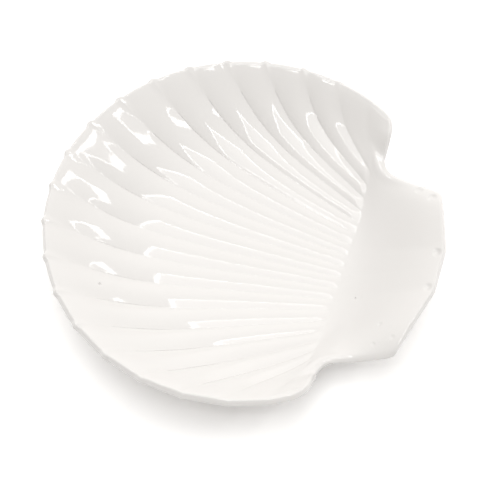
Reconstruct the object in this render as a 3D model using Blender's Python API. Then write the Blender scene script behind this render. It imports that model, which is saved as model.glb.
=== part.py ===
"""Scallop shell platter, cast in one piece of white glazed ceramic.

Metres, +Z up. The foot ring stands on Z = 0, the hinge edge with its two ears faces +X, the fan spreads
towards -X, and the XZ plane is the plane of symmetry. The wall is a grid of columns, which run with the
grooves from the rim to the hinge edge, and rows across them. Columns are numbered by their distance from
the plane of symmetry in panels, so a groove lies at every half number.
"""

import math

import bmesh
import bpy
import numpy as np
from mathutils import Vector
from mathutils.bvhtree import BVHTree

# Whole platter
RIM_HEIGHT = 0.0475  # top of the rim above the table
WALL = 0.0050
LIP_LEAN = 0.0060  # width of the lip, which leans as the wall does at its inner side

# Fan
GROOVES_EACH_SIDE = 10
GROOVE_STEP = math.radians(12.15)  # between two grooves at the rim
FAN_RADIUS = 0.1405  # rim between the grooves' tips
TIP_LENGTH = 0.0026  # how far a groove's tip stands out of the rim
TIP_SHARE = 0.12  # half the tip's width, as a share of a panel
TIP_FADE = 5  # power at which the tips shorten towards the shoulders, where they are gone
BASIN_DEPTH = 0.0410  # floor under the rim
WALL_REACH = 0.0404  # distance from the rim at which the wall has turned to the floor
WALL_TURN = 1.35  # how sharply it turns

# Panels between the grooves, crowned towards the inside
CROWN_RATIO = 0.095  # height of the crown over the width of the panel
CROWN_AT_RIM = 0.5  # share of that height left at the rim
CROWN_FADE_RIM = 0.015
CROWN_FADE_HINGE = 0.008  # the grooves run out over this length
CROWN_END = 0.002  # where they have run out, past the hinge line
CROWN_OUTSIDE = 0.55  # share of the crown that shows on the underside
CROWN_AT_SIDE = 0.4  # share of that height left on the panel beside the last groove

# Hinge line, on which the grooves end, measured from the fan's centre
HINGE_LINE = 0.0734
HINGE_PITCH = 0.00955
HINGE_LINE_RISE = 0.0210  # from the basin's floor to the notch
RISE_POWER = 3
FLOOR_RISE = 0.0020  # of the floor, on its way to the hinge line

# Outline beside the fan: shoulder, notch, ear and hinge edge, measured from the fan's centre
SHOULDER_X = 0.0800
SHOULDER_FILLET = 0.0200
NOTCH_Y = 0.0820
NOTCH_FILLET = 0.0140
EAR_X = 0.1265
EAR_Y = 0.0685
EAR_FILLET = 0.0100
HINGE_EDGE = 0.1410
KINK_Y = 0.0170
KINK_FILLET = 0.0200
EAR_DROP = 0.0080  # under the rim
EAR_DROP_POWER = 7
HINGE_EDGE_SLOPE = 0.45  # at which the wall arrives there
SIDE_SLOPE = 0.9  # steepest, beyond the last groove
SIDE_LEVEL_FROM = 0.3  # share of the way to the hinge line at which it starts to level out
EAR_DIP = 0.25  # steepest, where the columns leave the hinge line

# How the grooves turn in plan, in degrees from the X axis: for each panel from the middle, and for its cube
TURN_AT_RIM = (6.8, 0.022)
TURN_AT_HINGE = (4.0, 0.025)

# Foot ring
FOOT_CENTRE = 0.0060  # from the fan's centre
FOOT_RADIUS = 0.0580
FOOT_WIDTH = 0.0045
FOOT_DRAFT = 0.0015  # it is wider by this on either side where it meets the wall
FOOT_SINK = 0.4 * WALL  # how deep it reaches into the wall
FOOT_SEGMENTS = 72

# Grid
PANEL_STEPS = (0.0, 0.12, 0.31, 0.5, 0.69, 0.88)
EDGE_STEPS = 2
FAN_ROWS = 12
ROW_CLOSENESS = 1.25  # rows lie closer together on the wall than on the floor
HINGE_ROWS = 5
LIP_STEPS = 3
OUTLINE_STEP = 0.0005

HALF_LIP = WALL / 2
LAST_GROOVE = GROOVES_EACH_SIDE - 0.5
TIP_REACH = (FAN_RADIUS + TIP_LENGTH) * math.cos(GROOVE_STEP / 2)
FAN_X = (TIP_REACH - HINGE_EDGE) / 2  # centres the platter on the origin


def rounded(points, radii):
    """The path through these corners, each rounded by its fillet, as closely spaced points."""
    path = [Vector(points[0])]
    for before, corner, after, radius in zip(points, points[1:], points[2:], radii):
        corner = Vector(corner)
        back = (Vector(before) - corner).normalized()
        ahead = (Vector(after) - corner).normalized()
        half = back.angle(ahead) / 2
        centre = corner + (back + ahead).normalized() * radius / math.sin(half)
        start = corner + back * radius / math.tan(half) - centre
        sweep = start.angle_signed(corner + ahead * radius / math.tan(half) - centre)
        steps = max(2, round(abs(sweep) * radius / OUTLINE_STEP))
        for i in range(steps + 1):
            angle = -sweep * i / steps
            spun = Vector((
                start.x * math.cos(angle) - start.y * math.sin(angle),
                start.x * math.sin(angle) + start.y * math.cos(angle),
            ))
            path.append(centre + spun)
    path.append(Vector(points[-1]))
    return np.array(path)


def resampled(path, shares):
    """Points at these shares of the path's length."""
    lengths = lengths_along(path)
    at = np.asarray(shares) * lengths[-1]
    return np.stack([np.interp(at, lengths, path[:, 0]), np.interp(at, lengths, path[:, 1])], -1)


def inset(path, distance):
    """The path moved to its right-hand side, which is the inside of an outline that runs clockwise."""
    ahead = np.gradient(path, axis=0)
    ahead /= np.linalg.norm(ahead, axis=1)[:, None]
    return path + distance * np.stack([ahead[:, 1], -ahead[:, 0]], -1)


def tip(column):
    """1 at a groove, falling to 0 beside it and towards the shoulders."""
    from_groove = abs(column - math.floor(column) - 0.5)
    return max(0.0, 1 - from_groove / TIP_SHARE) * (1 - (abs(column) / LAST_GROOVE) ** TIP_FADE)


def rim_point(column, radius):
    angle = column * GROOVE_STEP
    return np.array([-radius * math.cos(angle), radius * math.sin(angle)])


def side_outline():
    """The inset outline on the +Y side, cut at the shoulder, at the last groove's end and at the ear's corner."""
    shoulder_y = math.sqrt(FAN_RADIUS**2 - SHOULDER_X**2)
    corners = [
        tuple(rim_point(LAST_GROOVE, FAN_RADIUS)),
        (SHOULDER_X, shoulder_y),
        (SHOULDER_X, NOTCH_Y),
        (EAR_X, EAR_Y),
        (HINGE_EDGE, KINK_Y),
        (HINGE_EDGE, 0.0),
    ]
    path = rounded(corners, (SHOULDER_FILLET, NOTCH_FILLET, EAR_FILLET, KINK_FILLET))
    groove_end = (SHOULDER_X, HINGE_PITCH * LAST_GROOVE)
    cuts = [0]
    for place in (corners[1], groove_end, corners[3]):
        cuts.append(int(np.argmin(np.linalg.norm(path - place, axis=1))))
    cuts.append(len(path) - 1)
    path = inset(path, HALF_LIP)
    path[0] = rim_point(LAST_GROOVE, FAN_RADIUS - HALF_LIP)
    path[-1] = (HINGE_EDGE - HALF_LIP, 0.0)
    return [path[a : b + 1] for a, b in zip(cuts, cuts[1:])]


def bezier(start, start_angle, end, end_angle, shares):
    """A cubic curve between two points, which leaves and arrives at these angles below the X axis."""
    reach = np.linalg.norm(end - start) / 3
    first = start + reach * np.array([math.cos(start_angle), -math.sin(start_angle)])
    second = end - reach * np.array([math.cos(end_angle), -math.sin(end_angle)])
    t = np.asarray(shares)[:, None]
    return (
        (1 - t) ** 3 * start + 3 * t * (1 - t) ** 2 * first + 3 * t**2 * (1 - t) * second + t**3 * end
    )


def smooth(x):
    x = np.clip(x, 0, 1)
    return x * x * (3 - 2 * x)


def turn(rates, column):
    linear, cube = rates
    return math.radians(linear * column + cube * column**3)


def lengths_along(path):
    return np.r_[0, np.cumsum(np.linalg.norm(np.diff(path, axis=0), axis=1))]


def fan_shares():
    return np.linspace(0, 1, FAN_ROWS + 1) ** ROW_CLOSENESS


def fan_column(column):
    """One column of the fan, at or between the grooves: plan and height under the rim, from rim to hinge line."""
    rim = rim_point(column, FAN_RADIUS - HALF_LIP + TIP_LENGTH * tip(column))
    hinge = np.array([HINGE_LINE, HINGE_PITCH * column])
    plan = bezier(rim, turn(TURN_AT_RIM, column), hinge, turn(TURN_AT_HINGE, column), fan_shares())
    depth = BASIN_DEPTH - HINGE_LINE_RISE * (column / LAST_GROOVE) ** RISE_POWER
    along = lengths_along(plan)
    height = -depth * (1 - np.exp(-((along * BASIN_DEPTH / depth / WALL_REACH) ** WALL_TURN)))
    lift = FLOOR_RISE - depth - height[-1]
    height += lift * (along / along[-1]) ** 3
    return np.column_stack([plan, height])


def side_columns(last, rim_to_shoulder, shoulder_to_notch):
    """The columns beyond the last groove. They rise on to the shoulder's edge and level out at the notch."""
    before = fan_column(LAST_GROOVE - 0.5)
    steps = last - before
    slope = steps[:, 2] / np.linalg.norm(steps[:, :2], axis=1)
    slope /= np.sqrt(1 + (slope / SIDE_SLOPE) ** 2)
    slope *= 1 - smooth((fan_shares() - SIDE_LEVEL_FROM) / (1 - SIDE_LEVEL_FROM))
    edge = resampled(shoulder_to_notch, fan_shares())
    columns = []
    for i in range(1, EDGE_STEPS + 1):
        share = i / EDGE_STEPS
        column = last.copy()
        column[:, :2] += (edge - last[:, :2]) * share
        column[:, 2] += slope * np.linalg.norm(column[:, :2] - last[:, :2], axis=1)
        column[0, :2] = resampled(rim_to_shoulder, [share])[0]
        columns.append(column)
    return columns


def ear_part(fan, numbers, notch_to_ear, ear_to_middle):
    """All columns from the hinge line to the hinge edge, spread evenly between its middle and the ear's side."""
    shares = np.linspace(0, 1, HINGE_ROWS + 1)
    t = shares[None, :, None]
    u = (numbers / GROOVES_EACH_SIDE)[:, None, None]
    start = fan[:, -1, :2]
    end = resampled(ear_to_middle, 1 - numbers / GROOVES_EACH_SIDE)
    side = resampled(notch_to_ear, shares)
    middle = start[0] + (end[0] - start[0]) * shares[:, None]
    plan = (1 - u) * middle + u * side + (1 - t) * start[:, None] + t * end[:, None]
    plan -= (1 - u) * ((1 - t) * middle[0] + t * middle[-1]) + u * ((1 - t) * side[0] + t * side[-1])

    # The slope in which the fan arrives, along these columns
    arriving = fan[:, -1] - fan[:, -2]
    across = np.gradient(fan[:, -1], numbers, axis=0)
    ways = np.stack([arriving[:, :2], across[:, :2]], 1)
    rises = np.stack([arriving[:, 2], across[:, 2]], 1)[:, :, None]
    gradient = np.linalg.solve(ways, rises)[:, :, 0]
    leaving = (plan[:, 1] - plan[:, 0]) * HINGE_ROWS
    length = np.linalg.norm(np.diff(plan, axis=1), axis=2).sum(axis=1)
    slope = np.clip((gradient * leaving).sum(axis=1) / length, -EAR_DIP, EAR_DIP)

    low = fan[:, -1, 2][:, None]
    high = -EAR_DROP * (numbers[:, None] / GROOVES_EACH_SIDE) ** EAR_DROP_POWER
    t = shares[None, :]
    height = (
        (2 * t**3 - 3 * t**2 + 1) * low
        + (t**3 - 2 * t**2 + t) * (slope * length)[:, None]
        + (3 * t**2 - 2 * t**3) * high
        + (t**3 - t**2) * HINGE_EDGE_SLOPE * length[:, None]
    )
    return np.concatenate([plan, height[:, :, None]], axis=2)


def half_columns():
    """Column numbers from the plane of symmetry outwards, up to the last groove."""
    steps = sorted({round(k + s - 0.5, 4) for k in range(GROOVES_EACH_SIDE) for s in PANEL_STEPS})
    return [c for c in steps if c >= 0] + [LAST_GROOVE]


def middle_surface():
    """The wall's middle as an array of columns x rows x XYZ, and the column numbers."""
    rim_to_shoulder, shoulder_to_notch, notch_to_ear, ear_to_middle = side_outline()
    numbers = half_columns()
    fan = [fan_column(number) for number in numbers]
    fan += side_columns(fan[-1], rim_to_shoulder, shoulder_to_notch)
    numbers = np.array(numbers + [LAST_GROOVE + 0.5 * i / EDGE_STEPS for i in range(1, EDGE_STEPS + 1)])
    fan = np.array(fan)
    ear = ear_part(fan, numbers, notch_to_ear, ear_to_middle)
    half = np.concatenate([fan, ear[:, 1:]], axis=1)
    whole = np.concatenate([(half[::-1] * [1, -1, 1])[:-1], half])
    return whole, np.concatenate([-numbers[::-1][:-1], numbers])


def distances(surface):
    """How far each point lies from the rim, along its column."""
    return np.cumsum(np.linalg.norm(np.diff(surface, axis=1, prepend=surface[:, :1]), axis=2), axis=1)


def normals_of(surface):
    """Normals of the middle surface. The lip keeps those of the wall just inside it, so it leans with the wall."""
    across = np.gradient(surface, axis=0)
    along = np.gradient(surface, axis=1)
    normals = np.cross(along, across)
    normals /= np.linalg.norm(normals, axis=2)[:, :, None]
    from_rim = distances(surface)
    for column, distance in zip(normals, from_rim):
        inside = int(np.argmax(distance > LIP_LEAN))
        column[:inside] = column[inside]
    return normals * np.sign(normals[:, :, 2:3])


def crowns(surface, numbers):
    """Height of each point above the bottom of the grooves."""
    share = np.abs(numbers) - np.floor(np.abs(numbers) + 0.5) + 0.5
    bump = 4 * share * (1 - share)
    pitch = np.linalg.norm(np.gradient(surface, numbers, axis=0), axis=2)
    along = distances(surface)
    fade = CROWN_AT_RIM + (1 - CROWN_AT_RIM) * smooth(along / CROWN_FADE_RIM)
    past_hinge = along - along[:, FAN_ROWS : FAN_ROWS + 1]
    fade = fade * smooth((CROWN_END - past_hinge) / CROWN_FADE_HINGE)
    beside_last = smooth(np.abs(numbers) - (LAST_GROOVE - 1.5))
    side = 1 - (1 - CROWN_AT_SIDE) * beside_last
    side[np.abs(numbers) > LAST_GROOVE] = 0
    return (bump * side)[:, None] * pitch * CROWN_RATIO * fade


def outline_indices(columns, rows):
    """The grid's border, once round."""
    border = [(i, 0) for i in range(columns)]
    border += [(columns - 1, j) for j in range(1, rows)]
    border += [(i, rows - 1) for i in range(columns - 2, -1, -1)]
    border += [(0, j) for j in range(rows - 2, 0, -1)]
    return border


def wall_mesh():
    """The closed wall: inner face, outer face and the round lip that joins them."""
    middle, numbers = middle_surface()
    normals = normals_of(middle)
    crown = crowns(middle, numbers)[:, :, None]
    inner = middle + normals * (HALF_LIP + crown)
    outer = middle - normals * (HALF_LIP - CROWN_OUTSIDE * crown)
    origin = np.array([FAN_X, 0.0, RIM_HEIGHT - HALF_LIP])

    mesh = bmesh.new()
    columns, rows = middle.shape[:2]
    top = [[mesh.verts.new(inner[i, j] + origin) for j in range(rows)] for i in range(columns)]
    bottom = [[mesh.verts.new(outer[i, j] + origin) for j in range(rows)] for i in range(columns)]
    for i in range(columns - 1):
        for j in range(rows - 1):
            mesh.faces.new((top[i][j], top[i + 1][j], top[i + 1][j + 1], top[i][j + 1]))
            mesh.faces.new((bottom[i][j], bottom[i][j + 1], bottom[i + 1][j + 1], bottom[i + 1][j]))

    border = outline_indices(columns, rows)
    rings = []
    for k, (i, j) in enumerate(border):
        before = middle[border[k - 1]]
        after = middle[border[(k + 1) % len(border)]]
        outward = np.cross(normals[i, j], after - before)
        outward /= np.linalg.norm(outward)
        if np.dot(outward[:2], middle[i, j, :2]) < 0 and i not in (0, columns - 1):
            outward = -outward
        half = (inner[i, j] - outer[i, j]) / 2
        centre = (inner[i, j] + outer[i, j]) / 2 + origin
        reach = outward * np.linalg.norm(half)
        arc = [top[i][j]]
        for step in range(1, LIP_STEPS):
            angle = math.pi * step / LIP_STEPS
            arc.append(mesh.verts.new(centre + half * math.cos(angle) + reach * math.sin(angle)))
        rings.append(arc + [bottom[i][j]])
    for ring, following in zip(rings, rings[1:] + rings[:1]):
        for a, b, c, d in zip(ring, ring[1:], following[1:], following):
            mesh.faces.new((a, b, c, d))
    bmesh.ops.recalc_face_normals(mesh, faces=mesh.faces)
    bmesh.ops.triangulate(mesh, faces=mesh.faces)
    return mesh


def foot_mesh(wall):
    """The foot ring: flat below, drafted sides, and a top that follows the wall from inside."""
    tree = BVHTree.FromBMesh(wall)
    mesh = bmesh.new()
    loops = []
    for k in range(FOOT_SEGMENTS):
        angle = math.tau * k / FOOT_SEGMENTS
        spoke = Vector((math.cos(angle), math.sin(angle), 0))
        centre = Vector((FAN_X + FOOT_CENTRE, 0, 0)) + spoke * FOOT_RADIUS
        loop = []
        for side in (-1, 1):
            low = centre + spoke * side * FOOT_WIDTH / 2
            high = centre + spoke * side * (FOOT_WIDTH / 2 + FOOT_DRAFT)
            high.z = tree.ray_cast(high, Vector((0, 0, 1)))[0].z + FOOT_SINK
            loop += [low, high] if side < 0 else [high, low]
        loops.append([mesh.verts.new(point) for point in loop])
    for loop, following in zip(loops, loops[1:] + loops[:1]):
        for k in range(4):
            mesh.faces.new((loop[k], loop[(k + 1) % 4], following[(k + 1) % 4], following[k]))
    bmesh.ops.recalc_face_normals(mesh, faces=mesh.faces)
    return mesh


def add_object(name, mesh):
    data = bpy.data.meshes.new(name)
    mesh.to_mesh(data)
    obj = bpy.data.objects.new(name, data)
    bpy.context.scene.collection.objects.link(obj)
    return obj


def white_glaze():
    material = bpy.data.materials.new("white_glaze")
    material.use_nodes = True
    shader = material.node_tree.nodes["Principled BSDF"]
    shader.inputs["Base Color"].default_value = (0.86, 0.85, 0.84, 1)
    shader.inputs["Roughness"].default_value = 0.08
    shader.inputs["Metallic"].default_value = 0.0
    return material


for old in list(bpy.data.objects):
    bpy.data.objects.remove(old)

wall = wall_mesh()
foot = add_object("foot_ring", foot_mesh(wall))
foot.hide_render = True
foot.display_type = "WIRE"

platter = add_object("shell_platter", wall)
platter.data.materials.append(white_glaze())
platter.data.shade_smooth()
platter.data.set_sharp_from_angle(angle=math.radians(40))
join = platter.modifiers.new("foot_ring", "BOOLEAN")
join.operation = "UNION"
join.object = foot
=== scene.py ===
"""Looks of the scallop shell platter: its fine surface, its glaze and the studio around it.

The platter is one glazed casting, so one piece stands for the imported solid. It is the same grid of columns
along the grooves and rows across them as the solid, with closer steps and with what shows only close up:
fine tips with the rim a little lower between them, rounded groove bottoms, a squarer lip, small dents along
the hinge edge and a pinhole in the glaze. Columns are numbered by their distance from the plane of symmetry
in panels, so a groove lies at every half number.
"""

import math

import bmesh
import bpy
import numpy as np
from mathutils import Matrix, Quaternion, Vector
from mathutils.bvhtree import BVHTree


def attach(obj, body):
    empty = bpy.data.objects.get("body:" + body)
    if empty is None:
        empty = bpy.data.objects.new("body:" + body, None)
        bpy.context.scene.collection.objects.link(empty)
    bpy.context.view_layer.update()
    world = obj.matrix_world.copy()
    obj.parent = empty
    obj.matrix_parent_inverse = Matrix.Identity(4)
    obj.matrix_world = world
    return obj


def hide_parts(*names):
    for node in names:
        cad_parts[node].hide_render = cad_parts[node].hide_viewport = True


# Whole platter, in metres
RIM_HEIGHT = 0.0475  # top of the rim above the table
WALL = 0.0050
LIP_LEAN = 0.0060  # width of the lip, which leans as the wall does at its inner side
LIP_SQUARENESS = 0.5  # 1 is a round lip, and less is squarer

# Fan
GROOVES_EACH_SIDE = 10
GROOVE_STEP = math.radians(12.15)  # between two grooves at the rim
FAN_RADIUS = 0.1409  # rim between the grooves' tips
TIP_LENGTH = 0.0012  # how far a groove's tip stands out of the rim
TIP_SHARE = 0.12  # half the tip's width, as a share of a panel
TIP_FADE = 5  # power at which the tips shorten towards the shoulders, where they are gone
RIM_DIP = 0.0015  # how much lower the rim is between the tips
RIM_DIP_REACH = 0.030  # distance from the rim over which the wall comes back from that
BASIN_DEPTH = 0.0410  # floor under the rim
WALL_REACH = 0.0452  # distance from the rim at which the wall has turned to the floor
WALL_TURN = 1.45  # how sharply it turns
WALL_START = 0.0068  # the wall is cut this far down its curve, so that it slopes at the rim

# Panels between the grooves, crowned towards the inside
CROWN_RATIO = 0.095  # height of the crown over the width of the panel
CROWN_AT_RIM = 0.3  # share of that height left at the rim
CROWN_FADE_RIM = 0.050
CROWN_FADE_HINGE = 0.008  # the grooves run out over this length
CROWN_END = 0.002  # where they have run out, past the hinge line
CROWN_OUTSIDE = 0.55  # share of the crown that shows on the underside
CROWN_AT_SIDE = 0.4  # share of that height left on the panel beside the last groove
GROOVE_ROUNDING = 0.12  # of a groove's bottom, as a share of the crown's height
GROOVE_ROUNDING_AT_RIM = 0.35

# Hinge line, on which the grooves end, measured from the fan's centre
HINGE_LINE = 0.0734
HINGE_PITCH = 0.00955
HINGE_LINE_RISE = 0.0210  # from the basin's floor to the notch
RISE_POWER = 3
FLOOR_RISE = 0.0020  # of the floor, on its way to the hinge line

# Outline beside the fan: shoulder, notch, ear and hinge edge, measured from the fan's centre
SHOULDER_X = 0.0800
SHOULDER_FILLET = 0.0200
NOTCH_Y = 0.0820
NOTCH_FILLET = 0.0140
EAR_X = 0.1265
EAR_Y = 0.0685
EAR_FILLET = 0.0100
HINGE_EDGE = 0.1408
KINK_Y = 0.0170
KINK_FILLET = 0.0200
EAR_DROP = 0.0080  # under the rim
EAR_DROP_POWER = 7
HINGE_EDGE_SLOPE = 0.45  # at which the wall arrives there
SIDE_SLOPE = 0.9  # steepest, beyond the last groove
SIDE_LEVEL_FROM = 0.3  # share of the way to the hinge line at which it starts to level out
EAR_DIP = 0.25  # steepest, where the columns leave the hinge line
SIDE_PANELS = 1.5  # the side starts this many panels before the last groove
EASE_FADE_ROWS = 5  # the ears' easing fades over these at the hinge line and at the edge
EASE_PASSES = 30

# How the grooves turn in plan, in degrees from the X axis: for each panel from the middle, and for its cube
TURN_AT_RIM = (6.8, 0.022)
TURN_AT_HINGE = (4.0, 0.025)

# Foot ring
FOOT_CENTRE = 0.0060  # from the fan's centre
FOOT_RADIUS = 0.0580
FOOT_WIDTH = 0.0045
FOOT_DRAFT = 0.0015  # it is wider by this on either side where it meets the wall
FOOT_SINK = 0.4 * WALL  # how deep it reaches into the wall
FOOT_SEGMENTS = 144

# Grid
PANEL_PARTS = 20
LAST_COLUMN_GAP = 0.1  # the last groove has no column closer than this before it
EDGE_STEPS = 8
FAN_ROWS = 64
ROW_CLOSENESS = 1.25  # rows lie closer together on the wall than on the floor
HINGE_ROWS = 28
LIP_STEPS = 10
OUTLINE_STEP = 0.0005

# Glaze
GLAZE_COLOUR = (0.86, 0.846, 0.828, 1)
GLAZE_ROUGHNESS = 0.06
GLAZE_IOR = 1.52
RIPPLE_SCALE = 180
RIPPLE_STRENGTH = 0.04
RIPPLE_HEIGHT = 0.0004

# Small dents in the glaze along the hinge edge, a pinhole on the fan and a speck on the floor: each has its
# place, radius and depth
DENTS = (
    (0.1111, 0.0666, 0.0360, 0.0040, 0.0009),
    (0.1216, 0.0595, 0.0421, 0.0045, 0.0012),
    (0.1354, 0.0136, 0.0462, 0.0042, 0.0012),
    (0.1358, -0.0152, 0.0465, 0.0042, 0.0009),
    (0.1115, -0.0465, 0.0354, 0.0025, 0.0003),
    (0.1218, -0.0572, 0.0425, 0.0028, 0.0003),
    (0.1108, -0.0629, 0.0363, 0.0022, 0.0003),
    (-0.0820, -0.0716, 0.0293, 0.0013, 0.0009),
    (0.0887, -0.0209, 0.0142, 0.0012, 0.0006),
)

# Camera: the photograph's viewing angle, in degrees
CAMERA_AZIMUTH = 17.63
CAMERA_ELEVATION = 59.51
CAMERA_DISTANCE = 0.850
CAMERA_LENS = 87.4
CAMERA_SENSOR = 36.0
CAMERA_AIM = Vector((-0.00395, 0.0, RIM_HEIGHT))
CAMERA_AIM_RIGHT = 0.00808
CAMERA_AIM_UP = -0.02442

# Softboxes: sizes and borders are shares of their distance, and each shines with the radiance of its middle
# and of its border
LAMP_DISTANCE = 3.0
OVERHEAD_TILT = 0.08  # how far it stands to the camera's left, as a share of its height
OVERHEAD_SIZE = (0.62, 0.74)
OVERHEAD_BORDER = (0.04, 0.04)
OVERHEAD_RADIANCE = (1.7, 8.0)
WINDOW_PLACE = (99, 43)  # degrees from the camera's side, towards its right, and above the horizon
WINDOW_LEAN = math.radians(-32)
WINDOW_SIZE = (0.37, 0.31)
WINDOW_BORDER = (0.03, 0.07)
WINDOW_RADIANCE = (0.3, 7.0)

# Room: its far side lies in degrees as the window's place does
ROOM_LIGHT = 0.49
ROOM_LIGHT_FAR_SIDE = 0.8  # added there
ROOM_FAR_SIDE = (180, 20)
ROOM_FAR_SIDE_POWER = 4
ROOM_COLOUR = (1.0, 0.975, 0.95, 1)

# Floor
FLOOR_HALF_SIZE = 12.0
FLOOR_GAP = 0.0001  # under the foot ring
FLOOR_GREY = 0.85
FLOOR_GREY_SEEN = 1.3  # by the camera and in reflections

HALF_LIP = WALL / 2
LAST_GROOVE = GROOVES_EACH_SIDE - 0.5
TIP_REACH = (FAN_RADIUS + TIP_LENGTH) * math.cos(GROOVE_STEP / 2)
FAN_X = (TIP_REACH - HINGE_EDGE) / 2  # centres the platter on the origin

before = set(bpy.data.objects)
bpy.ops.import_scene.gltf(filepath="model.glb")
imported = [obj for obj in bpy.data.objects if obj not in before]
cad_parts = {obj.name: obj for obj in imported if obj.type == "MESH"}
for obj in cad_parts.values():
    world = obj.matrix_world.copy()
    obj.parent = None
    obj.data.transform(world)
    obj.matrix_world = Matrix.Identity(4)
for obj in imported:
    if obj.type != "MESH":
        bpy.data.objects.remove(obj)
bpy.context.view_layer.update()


def rounded(points, radii):
    """The path through these corners, each rounded by its fillet, as closely spaced points."""
    path = [Vector(points[0])]
    for before, corner, after, radius in zip(points, points[1:], points[2:], radii):
        corner = Vector(corner)
        back = (Vector(before) - corner).normalized()
        ahead = (Vector(after) - corner).normalized()
        half = back.angle(ahead) / 2
        centre = corner + (back + ahead).normalized() * radius / math.sin(half)
        start = corner + back * radius / math.tan(half) - centre
        sweep = start.angle_signed(corner + ahead * radius / math.tan(half) - centre)
        steps = max(2, round(abs(sweep) * radius / OUTLINE_STEP))
        for i in range(steps + 1):
            angle = -sweep * i / steps
            spun = Vector((
                start.x * math.cos(angle) - start.y * math.sin(angle),
                start.x * math.sin(angle) + start.y * math.cos(angle),
            ))
            path.append(centre + spun)
    path.append(Vector(points[-1]))
    return np.array(path)


def lengths_along(path):
    return np.r_[0, np.cumsum(np.linalg.norm(np.diff(path, axis=0), axis=1))]


def resampled(path, shares):
    """Points at these shares of the path's length."""
    lengths = lengths_along(path)
    at = np.asarray(shares) * lengths[-1]
    return np.stack([np.interp(at, lengths, path[:, 0]), np.interp(at, lengths, path[:, 1])], -1)


def inset(path, distance):
    """The path moved to its right-hand side, which is the inside of an outline that runs clockwise."""
    ahead = np.gradient(path, axis=0)
    ahead /= np.linalg.norm(ahead, axis=1)[:, None]
    return path + distance * np.stack([ahead[:, 1], -ahead[:, 0]], -1)


def tip(column):
    """1 at a groove, falling to 0 beside it and towards the shoulders."""
    from_groove = abs(column - math.floor(column) - 0.5)
    return max(0.0, 1 - from_groove / TIP_SHARE) * (1 - (abs(column) / LAST_GROOVE) ** TIP_FADE)


def rim_point(column, radius):
    angle = column * GROOVE_STEP
    return np.array([-radius * math.cos(angle), radius * math.sin(angle)])


def side_outline():
    """The inset outline on the +Y side, cut at the shoulder, the last groove's end and the ear's corner."""
    shoulder_y = math.sqrt(FAN_RADIUS**2 - SHOULDER_X**2)
    corners = [
        tuple(rim_point(LAST_GROOVE, FAN_RADIUS)),
        (SHOULDER_X, shoulder_y),
        (SHOULDER_X, NOTCH_Y),
        (EAR_X, EAR_Y),
        (HINGE_EDGE, KINK_Y),
        (HINGE_EDGE, 0.0),
    ]
    path = rounded(corners, (SHOULDER_FILLET, NOTCH_FILLET, EAR_FILLET, KINK_FILLET))
    groove_end = (SHOULDER_X, HINGE_PITCH * LAST_GROOVE)
    cuts = [0]
    for place in (corners[1], groove_end, corners[3]):
        cuts.append(int(np.argmin(np.linalg.norm(path - place, axis=1))))
    cuts.append(len(path) - 1)
    path = inset(path, HALF_LIP)
    path[0] = rim_point(LAST_GROOVE, FAN_RADIUS - HALF_LIP)
    path[-1] = (HINGE_EDGE - HALF_LIP, 0.0)
    return [path[a : b + 1] for a, b in zip(cuts, cuts[1:])]


def bezier(start, start_angle, end, end_angle, shares):
    """A cubic curve between two points, which leaves and arrives at these angles below the X axis."""
    reach = np.linalg.norm(end - start) / 3
    first = start + reach * np.array([math.cos(start_angle), -math.sin(start_angle)])
    second = end - reach * np.array([math.cos(end_angle), -math.sin(end_angle)])
    t = np.asarray(shares)[:, None]
    return (
        (1 - t) ** 3 * start + 3 * t * (1 - t) ** 2 * first + 3 * t**2 * (1 - t) * second + t**3 * end
    )


def smooth(x):
    x = np.clip(x, 0, 1)
    return x * x * (3 - 2 * x)


def turn(rates, column):
    linear, cube = rates
    return math.radians(linear * column + cube * column**3)


def fan_shares():
    """Rows lie closer together on the wall than on the floor."""
    return np.linspace(0, 1, FAN_ROWS + 1) ** ROW_CLOSENESS


def fan_column(column):
    """One column of the fan, from rim to hinge line: its plan, and its height from the rim's."""
    rim = rim_point(column, FAN_RADIUS - HALF_LIP + TIP_LENGTH * tip(column))
    hinge = np.array([HINGE_LINE, HINGE_PITCH * column])
    plan = bezier(rim, turn(TURN_AT_RIM, column), hinge, turn(TURN_AT_HINGE, column), fan_shares())
    depth = BASIN_DEPTH - HINGE_LINE_RISE * (column / LAST_GROOVE) ** RISE_POWER
    along = lengths_along(plan)
    start = (WALL_START / WALL_REACH) ** WALL_TURN
    reach = (along * BASIN_DEPTH / depth + WALL_START) / WALL_REACH
    height = -depth * (1 - np.exp(start - reach**WALL_TURN))
    height -= RIM_DIP * (1 - tip(column)) * np.exp(-along / RIM_DIP_REACH)
    lift = FLOOR_RISE - depth - height[-1]
    height += lift * (along / along[-1]) ** 3
    return np.column_stack([plan, height])


def side_columns(last, rim_to_shoulder, shoulder_to_notch):
    """The columns beyond the last groove. They rise on to the shoulder's edge and level out at the notch."""
    before = fan_column(LAST_GROOVE - 0.5)
    steps = last - before
    slope = steps[:, 2] / np.linalg.norm(steps[:, :2], axis=1)
    slope /= np.sqrt(1 + (slope / SIDE_SLOPE) ** 2)
    slope *= 1 - smooth((fan_shares() - SIDE_LEVEL_FROM) / (1 - SIDE_LEVEL_FROM))
    edge = resampled(shoulder_to_notch, fan_shares())
    columns = []
    for i in range(1, EDGE_STEPS + 1):
        share = i / EDGE_STEPS
        column = last.copy()
        column[:, :2] += (edge - last[:, :2]) * share
        column[:, 2] += slope * np.linalg.norm(column[:, :2] - last[:, :2], axis=1)
        column[0, :2] = resampled(rim_to_shoulder, [share])[0]
        columns.append(column)
    return columns


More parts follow.
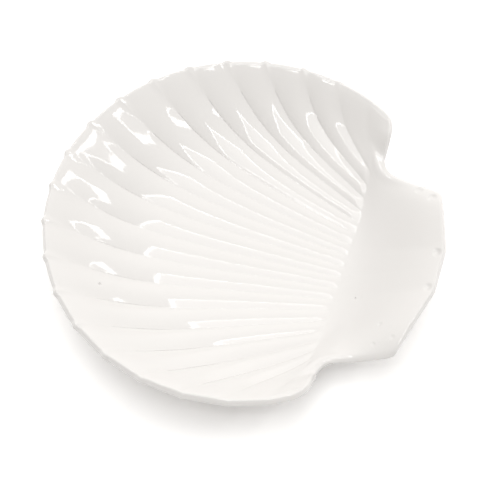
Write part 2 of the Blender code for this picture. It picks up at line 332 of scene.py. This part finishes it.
def ear_part(fan, numbers, notch_to_ear, ear_to_middle):
    """All columns from the hinge line to the hinge edge, spread between its middle and the ear's side."""
    shares = np.linspace(0, 1, HINGE_ROWS + 1)
    t = shares[None, :, None]
    u = (numbers / GROOVES_EACH_SIDE)[:, None, None]
    start = fan[:, -1, :2]
    end = resampled(ear_to_middle, 1 - numbers / GROOVES_EACH_SIDE)
    side = resampled(notch_to_ear, shares)
    middle = start[0] + (end[0] - start[0]) * shares[:, None]
    plan = (1 - u) * middle + u * side + (1 - t) * start[:, None] + t * end[:, None]
    plan -= (1 - u) * ((1 - t) * middle[0] + t * middle[-1]) + u * ((1 - t) * side[0] + t * side[-1])

    # The slope in which the fan arrives, along these columns
    arriving = fan[:, -1] - fan[:, -2]
    across = np.gradient(fan[:, -1], numbers, axis=0)
    ways = np.stack([arriving[:, :2], across[:, :2]], 1)
    rises = np.stack([arriving[:, 2], across[:, 2]], 1)[:, :, None]
    gradient = np.linalg.solve(ways, rises)[:, :, 0]
    leaving = (plan[:, 1] - plan[:, 0]) * HINGE_ROWS
    length = np.linalg.norm(np.diff(plan, axis=1), axis=2).sum(axis=1)
    slope = np.clip((gradient * leaving).sum(axis=1) / length, -EAR_DIP, EAR_DIP)

    low = fan[:, -1, 2][:, None]
    high = -EAR_DROP * (numbers[:, None] / GROOVES_EACH_SIDE) ** EAR_DROP_POWER
    t = shares[None, :]
    height = (
        (2 * t**3 - 3 * t**2 + 1) * low
        + (t**3 - 2 * t**2 + t) * (slope * length)[:, None]
        + (3 * t**2 - 2 * t**3) * high
        + (t**3 - t**2) * HINGE_EDGE_SLOPE * length[:, None]
    )
    return np.concatenate([plan, height[:, :, None]], axis=2)


def half_columns():
    """Column numbers from the plane of symmetry outwards, up to the last groove, closest at the grooves."""
    steps = [0.5 - 0.5 * math.cos(math.pi * i / PANEL_PARTS) for i in range(PANEL_PARTS)]
    numbers = sorted(k + s - 0.5 for k in range(GROOVES_EACH_SIDE) for s in steps)
    return [n for n in numbers if -1e-9 < n < LAST_GROOVE - LAST_COLUMN_GAP] + [LAST_GROOVE]


def eased(surface, numbers):
    """The surface without the crease that the last grooves would leave across the ears."""
    rows = np.arange(surface.shape[1])
    from_ends = np.minimum(rows - FAN_ROWS, rows[-1] - rows)
    beside = smooth(np.abs(numbers) - (LAST_GROOVE - SIDE_PANELS))
    share = (0.5 * beside[:, None] * smooth(from_ends / EASE_FADE_ROWS))[1:-1, :, None]
    for _ in range(EASE_PASSES):
        surface[1:-1] += share * ((surface[:-2] + surface[2:]) / 2 - surface[1:-1])
    return surface


def middle_surface():
    """The wall's middle as an array of columns x rows x XYZ, and the column numbers."""
    rim_to_shoulder, shoulder_to_notch, notch_to_ear, ear_to_middle = side_outline()
    numbers = half_columns()
    fan = [fan_column(number) for number in numbers]
    fan += side_columns(fan[-1], rim_to_shoulder, shoulder_to_notch)
    numbers = np.array(numbers + [LAST_GROOVE + 0.5 * i / EDGE_STEPS for i in range(1, EDGE_STEPS + 1)])
    fan = np.array(fan)
    ear = ear_part(fan, numbers, notch_to_ear, ear_to_middle)
    half = np.concatenate([fan, ear[:, 1:]], axis=1)
    whole = np.concatenate([(half[::-1] * [1, -1, 1])[:-1], half])
    numbers = np.concatenate([-numbers[::-1][:-1], numbers])
    return eased(whole, numbers), numbers


def distances(surface):
    """How far each point lies from the rim, along its column."""
    return np.cumsum(np.linalg.norm(np.diff(surface, axis=1, prepend=surface[:, :1]), axis=2), axis=1)


def normals_of(surface):
    """Normals of the middle surface. The lip keeps those of the wall just inside it, and leans with it."""
    across = np.gradient(surface, axis=0)
    along = np.gradient(surface, axis=1)
    normals = np.cross(along, across)
    normals /= np.linalg.norm(normals, axis=2)[:, :, None]
    from_rim = distances(surface)
    for column, distance in zip(normals, from_rim):
        inside = int(np.argmax(distance > LIP_LEAN))
        column[:inside] = column[inside]
    return normals * np.sign(normals[:, :, 2:3])


def crowns(surface, numbers):
    """Height of each point above the bottom of the grooves."""
    share = np.abs(numbers) - np.floor(np.abs(numbers) + 0.5) + 0.5
    arch = 4 * share * (1 - share)
    pitch = np.linalg.norm(np.gradient(surface, numbers, axis=0), axis=2)
    along = distances(surface)
    fade = CROWN_AT_RIM + (1 - CROWN_AT_RIM) * smooth(along / CROWN_FADE_RIM)
    past_hinge = along - along[:, FAN_ROWS : FAN_ROWS + 1]
    fade = fade * smooth((CROWN_END - past_hinge) / CROWN_FADE_HINGE)
    beside_last = smooth(np.abs(numbers) - (LAST_GROOVE - SIDE_PANELS))
    side = 1 - (1 - CROWN_AT_SIDE) * beside_last
    side[np.abs(numbers) > LAST_GROOVE] = 0
    round_share = 1 - smooth(along / CROWN_FADE_RIM)
    rounding = GROOVE_ROUNDING + (GROOVE_ROUNDING_AT_RIM - GROOVE_ROUNDING) * round_share
    bump = np.sqrt(arch[:, None] ** 2 + rounding**2) - rounding
    bump /= np.sqrt(1 + rounding**2) - rounding
    return bump * side[:, None] * pitch * CROWN_RATIO * fade


def outline_indices(columns, rows):
    """The grid's border, once round."""
    border = [(i, 0) for i in range(columns)]
    border += [(columns - 1, j) for j in range(1, rows)]
    border += [(i, rows - 1) for i in range(columns - 2, -1, -1)]
    border += [(0, j) for j in range(rows - 2, 0, -1)]
    return border


def wall_mesh():
    """The closed wall: inner face, outer face and the rounded lip that joins them."""
    middle, numbers = middle_surface()
    normals = normals_of(middle)
    crown = crowns(middle, numbers)[:, :, None]
    inner = middle + normals * (HALF_LIP + crown)
    outer = middle - normals * (HALF_LIP - CROWN_OUTSIDE * crown)
    origin = np.array([FAN_X, 0.0, RIM_HEIGHT - HALF_LIP])

    mesh = bmesh.new()
    columns, rows = middle.shape[:2]
    top = [[mesh.verts.new(inner[i, j] + origin) for j in range(rows)] for i in range(columns)]
    bottom = [[mesh.verts.new(outer[i, j] + origin) for j in range(rows)] for i in range(columns)]
    for i in range(columns - 1):
        for j in range(rows - 1):
            mesh.faces.new((top[i][j], top[i + 1][j], top[i + 1][j + 1], top[i][j + 1]))
            mesh.faces.new((bottom[i][j], bottom[i][j + 1], bottom[i + 1][j + 1], bottom[i + 1][j]))

    border = outline_indices(columns, rows)
    rings = []
    for k, (i, j) in enumerate(border):
        before = middle[border[k - 1]]
        after = middle[border[(k + 1) % len(border)]]
        outward = np.cross(normals[i, j], after - before)
        outward /= np.linalg.norm(outward)
        half = (inner[i, j] - outer[i, j]) / 2
        centre = (inner[i, j] + outer[i, j]) / 2 + origin
        reach = outward * np.linalg.norm(half)
        arc = [top[i][j]]
        for step in range(1, LIP_STEPS):
            angle = math.pi * step / LIP_STEPS
            height = math.copysign(abs(math.cos(angle)) ** LIP_SQUARENESS, math.cos(angle))
            width = math.sin(angle) ** LIP_SQUARENESS
            arc.append(mesh.verts.new(centre + half * height + reach * width))
        rings.append(arc + [bottom[i][j]])
    for ring, following in zip(rings, rings[1:] + rings[:1]):
        for a, b, c, d in zip(ring, ring[1:], following[1:], following):
            mesh.faces.new((a, b, c, d))
    bmesh.ops.recalc_face_normals(mesh, faces=mesh.faces)
    return mesh


def foot_mesh(wall):
    """The foot ring: flat below, drafted sides, and a top that follows the wall from inside."""
    tree = BVHTree.FromBMesh(wall)
    mesh = bmesh.new()
    loops = []
    for k in range(FOOT_SEGMENTS):
        angle = math.tau * k / FOOT_SEGMENTS
        spoke = Vector((math.cos(angle), math.sin(angle), 0))
        centre = Vector((FAN_X + FOOT_CENTRE, 0, 0)) + spoke * FOOT_RADIUS
        loop = []
        for side in (-1, 1):
            low = centre + spoke * side * FOOT_WIDTH / 2
            high = centre + spoke * side * (FOOT_WIDTH / 2 + FOOT_DRAFT)
            high.z = tree.ray_cast(high, Vector((0, 0, 1)))[0].z + FOOT_SINK
            loop += [low, high] if side < 0 else [high, low]
        loops.append([mesh.verts.new(point) for point in loop])
    for loop, following in zip(loops, loops[1:] + loops[:1]):
        for k in range(4):
            mesh.faces.new((loop[k], loop[(k + 1) % 4], following[(k + 1) % 4], following[k]))
    bmesh.ops.recalc_face_normals(mesh, faces=mesh.faces)
    return mesh


def add_object(name, mesh):
    data = bpy.data.meshes.new(name)
    mesh.to_mesh(data)
    obj = bpy.data.objects.new(name, data)
    bpy.context.scene.collection.objects.link(obj)
    return obj


def dent_height(nodes, links, place):
    """The glaze's height from its even surface: a bowl at each dent, and nothing elsewhere."""
    height = None
    for x, y, z, radius, depth in DENTS:
        away = nodes.new("ShaderNodeVectorMath")
        away.operation = "DISTANCE"
        away.inputs[1].default_value = (x, y, z)
        links.new(place, away.inputs[0])
        bowl = nodes.new("ShaderNodeMapRange")
        bowl.interpolation_type = "SMOOTHSTEP"
        bowl.inputs["From Min"].default_value = 0
        bowl.inputs["From Max"].default_value = radius
        bowl.inputs["To Min"].default_value = -depth
        bowl.inputs["To Max"].default_value = 0
        links.new(away.outputs["Value"], bowl.inputs["Value"])
        if height:
            both = nodes.new("ShaderNodeMath")
            links.new(height, both.inputs[0])
            links.new(bowl.outputs["Result"], both.inputs[1])
            height = both.outputs[0]
        else:
            height = bowl.outputs["Result"]
    return height


def white_glaze():
    material = bpy.data.materials.new("white_glaze")
    material.use_nodes = True
    nodes = material.node_tree.nodes
    links = material.node_tree.links
    shader = nodes["Principled BSDF"]
    shader.inputs["Base Color"].default_value = GLAZE_COLOUR
    shader.inputs["Roughness"].default_value = GLAZE_ROUGHNESS
    shader.inputs["IOR"].default_value = GLAZE_IOR
    place = nodes.new("ShaderNodeTexCoord").outputs["Object"]

    dented = nodes.new("ShaderNodeBump")
    dented.inputs["Distance"].default_value = 1.0
    links.new(dent_height(nodes, links, place), dented.inputs["Height"])

    ripple = nodes.new("ShaderNodeTexNoise")
    ripple.inputs["Scale"].default_value = RIPPLE_SCALE
    ripple.inputs["Detail"].default_value = 2
    rippled = nodes.new("ShaderNodeBump")
    rippled.inputs["Strength"].default_value = RIPPLE_STRENGTH
    rippled.inputs["Distance"].default_value = RIPPLE_HEIGHT
    links.new(place, ripple.inputs["Vector"])
    links.new(ripple.outputs["Fac"], rippled.inputs["Height"])
    links.new(dented.outputs["Normal"], rippled.inputs["Normal"])
    links.new(rippled.outputs["Normal"], shader.inputs["Normal"])
    return material


def platter():
    wall = wall_mesh()
    foot = add_object("foot_ring", foot_mesh(wall))
    body = add_object("glazed_shell", wall)
    join = body.modifiers.new("foot_ring", "BOOLEAN")
    join.operation = "UNION"
    join.object = foot
    graph = bpy.context.evaluated_depsgraph_get()
    joined = bpy.data.meshes.new_from_object(body.evaluated_get(graph))
    body.modifiers.clear()
    body.data = joined
    bpy.data.objects.remove(foot)
    body.data.materials.append(white_glaze())
    body.data.shade_smooth()
    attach(body, "root")
    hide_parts("shell_platter")


def floor():
    """A pale floor. The camera and reflections see it brighter, so that it reads white."""
    mesh = bmesh.new()
    bmesh.ops.create_grid(mesh, x_segments=1, y_segments=1, size=FLOOR_HALF_SIZE)
    obj = add_object("floor", mesh)
    obj.location.z = -FLOOR_GAP
    material = bpy.data.materials.new("floor_white")
    material.use_nodes = True
    nodes = material.node_tree.nodes
    links = material.node_tree.links
    nodes.remove(nodes["Principled BSDF"])
    path = nodes.new("ShaderNodeLightPath")
    seen = nodes.new("ShaderNodeMath")
    seen.operation = "MAXIMUM"
    links.new(path.outputs["Is Camera Ray"], seen.inputs[0])
    links.new(path.outputs["Is Glossy Ray"], seen.inputs[1])
    mix = nodes.new("ShaderNodeMixShader")
    links.new(seen.outputs[0], mix.inputs[0])
    for slot, grey in ((1, FLOOR_GREY), (2, FLOOR_GREY_SEEN)):
        matt = nodes.new("ShaderNodeBsdfDiffuse")
        matt.inputs["Color"].default_value = (grey, grey, grey, 1)
        links.new(matt.outputs[0], mix.inputs[slot])
    links.new(mix.outputs[0], nodes["Material Output"].inputs["Surface"])
    obj.data.materials.append(material)


def toward(turned, raised):
    """The unit vector this many degrees from the camera's side, towards its right, and above the horizon."""
    a = math.radians(CAMERA_AZIMUTH + turned)
    e = math.radians(raised)
    return Vector((math.sin(a) * math.cos(e), -math.cos(a) * math.cos(e), math.sin(e)))


def lamp(name, way, across, size, offset, radiance):
    """A rectangular lamp. Its size and offset along and across its frame are shares of its distance."""
    data = bpy.data.lights.new(name, "AREA")
    data.shape = "RECTANGLE"
    data.size = size[0] * LAMP_DISTANCE
    data.size_y = size[1] * LAMP_DISTANCE
    data.energy = radiance * math.pi * data.size * data.size_y
    obj = bpy.data.objects.new(name, data)
    bpy.context.scene.collection.objects.link(obj)
    along = across.cross(way).normalized()
    across = way.cross(along)
    axes = Matrix((along, across, way)).transposed()
    obj.location = (way + along * offset[0] + across * offset[1]) * LAMP_DISTANCE
    obj.rotation_euler = axes.to_euler()


def softbox(name, way, across, size, border, radiance):
    """A softbox whose border shines brighter than its middle."""
    width, height = size
    side_width, end_height = border
    inside, around = radiance
    middle = (width - 2 * side_width, height - 2 * end_height)
    lamp(name, way, across, middle, (0, 0), inside)
    for side in (-1, 1):
        place = side * (width - side_width) / 2
        lamp(f"{name}_side_{side}", way, across, (side_width, height), (place, 0), around)
        place = side * (height - end_height) / 2
        lamp(f"{name}_end_{side}", way, across, (middle[0], end_height), (0, place), around)


def room(scene):
    """The room's light: even all round, and stronger from the far side of the platter."""
    world = bpy.data.worlds.new("studio")
    scene.world = world
    world.use_nodes = True
    nodes = world.node_tree.nodes
    links = world.node_tree.links
    place = nodes.new("ShaderNodeTexCoord")
    facing = nodes.new("ShaderNodeVectorMath")
    facing.operation = "DOT_PRODUCT"
    facing.inputs[1].default_value = toward(*ROOM_FAR_SIDE)
    links.new(place.outputs["Generated"], facing.inputs[0])
    last = facing.outputs["Value"]
    steps = (
        ("MAXIMUM", 0.0),
        ("POWER", ROOM_FAR_SIDE_POWER),
        ("MULTIPLY", ROOM_LIGHT_FAR_SIDE),
        ("ADD", ROOM_LIGHT),
    )
    for operation, value in steps:
        step = nodes.new("ShaderNodeMath")
        step.operation = operation
        step.inputs[1].default_value = value
        links.new(last, step.inputs[0])
        last = step.outputs[0]
    links.new(last, nodes["Background"].inputs["Strength"])
    nodes["Background"].inputs["Color"].default_value = ROOM_COLOUR


def studio():
    scene = bpy.context.scene
    scene.view_settings.view_transform = "Standard"
    room(scene)
    overhead = (Vector((0, 0, 1)) - toward(90, 0) * OVERHEAD_TILT).normalized()
    softbox("overhead", overhead, -toward(0, 0), OVERHEAD_SIZE, OVERHEAD_BORDER, OVERHEAD_RADIANCE)
    window = toward(*WINDOW_PLACE)
    lean = Quaternion(window, WINDOW_LEAN) @ Vector((0, 0, 1))
    softbox("window", window, lean, WINDOW_SIZE, WINDOW_BORDER, WINDOW_RADIANCE)
    floor()


def camera():
    data = bpy.data.cameras.new("camera")
    data.sensor_width = CAMERA_SENSOR
    data.lens = CAMERA_LENS
    obj = bpy.data.objects.new("camera", data)
    bpy.context.scene.collection.objects.link(obj)
    back = toward(0, CAMERA_ELEVATION)
    right = toward(90, 0)
    aim = CAMERA_AIM + right * CAMERA_AIM_RIGHT + back.cross(right) * CAMERA_AIM_UP
    obj.location = aim + back * CAMERA_DISTANCE
    obj.rotation_euler = back.to_track_quat("Z", "Y").to_euler()
    bpy.context.scene.camera = obj


camera()
studio()
platter()
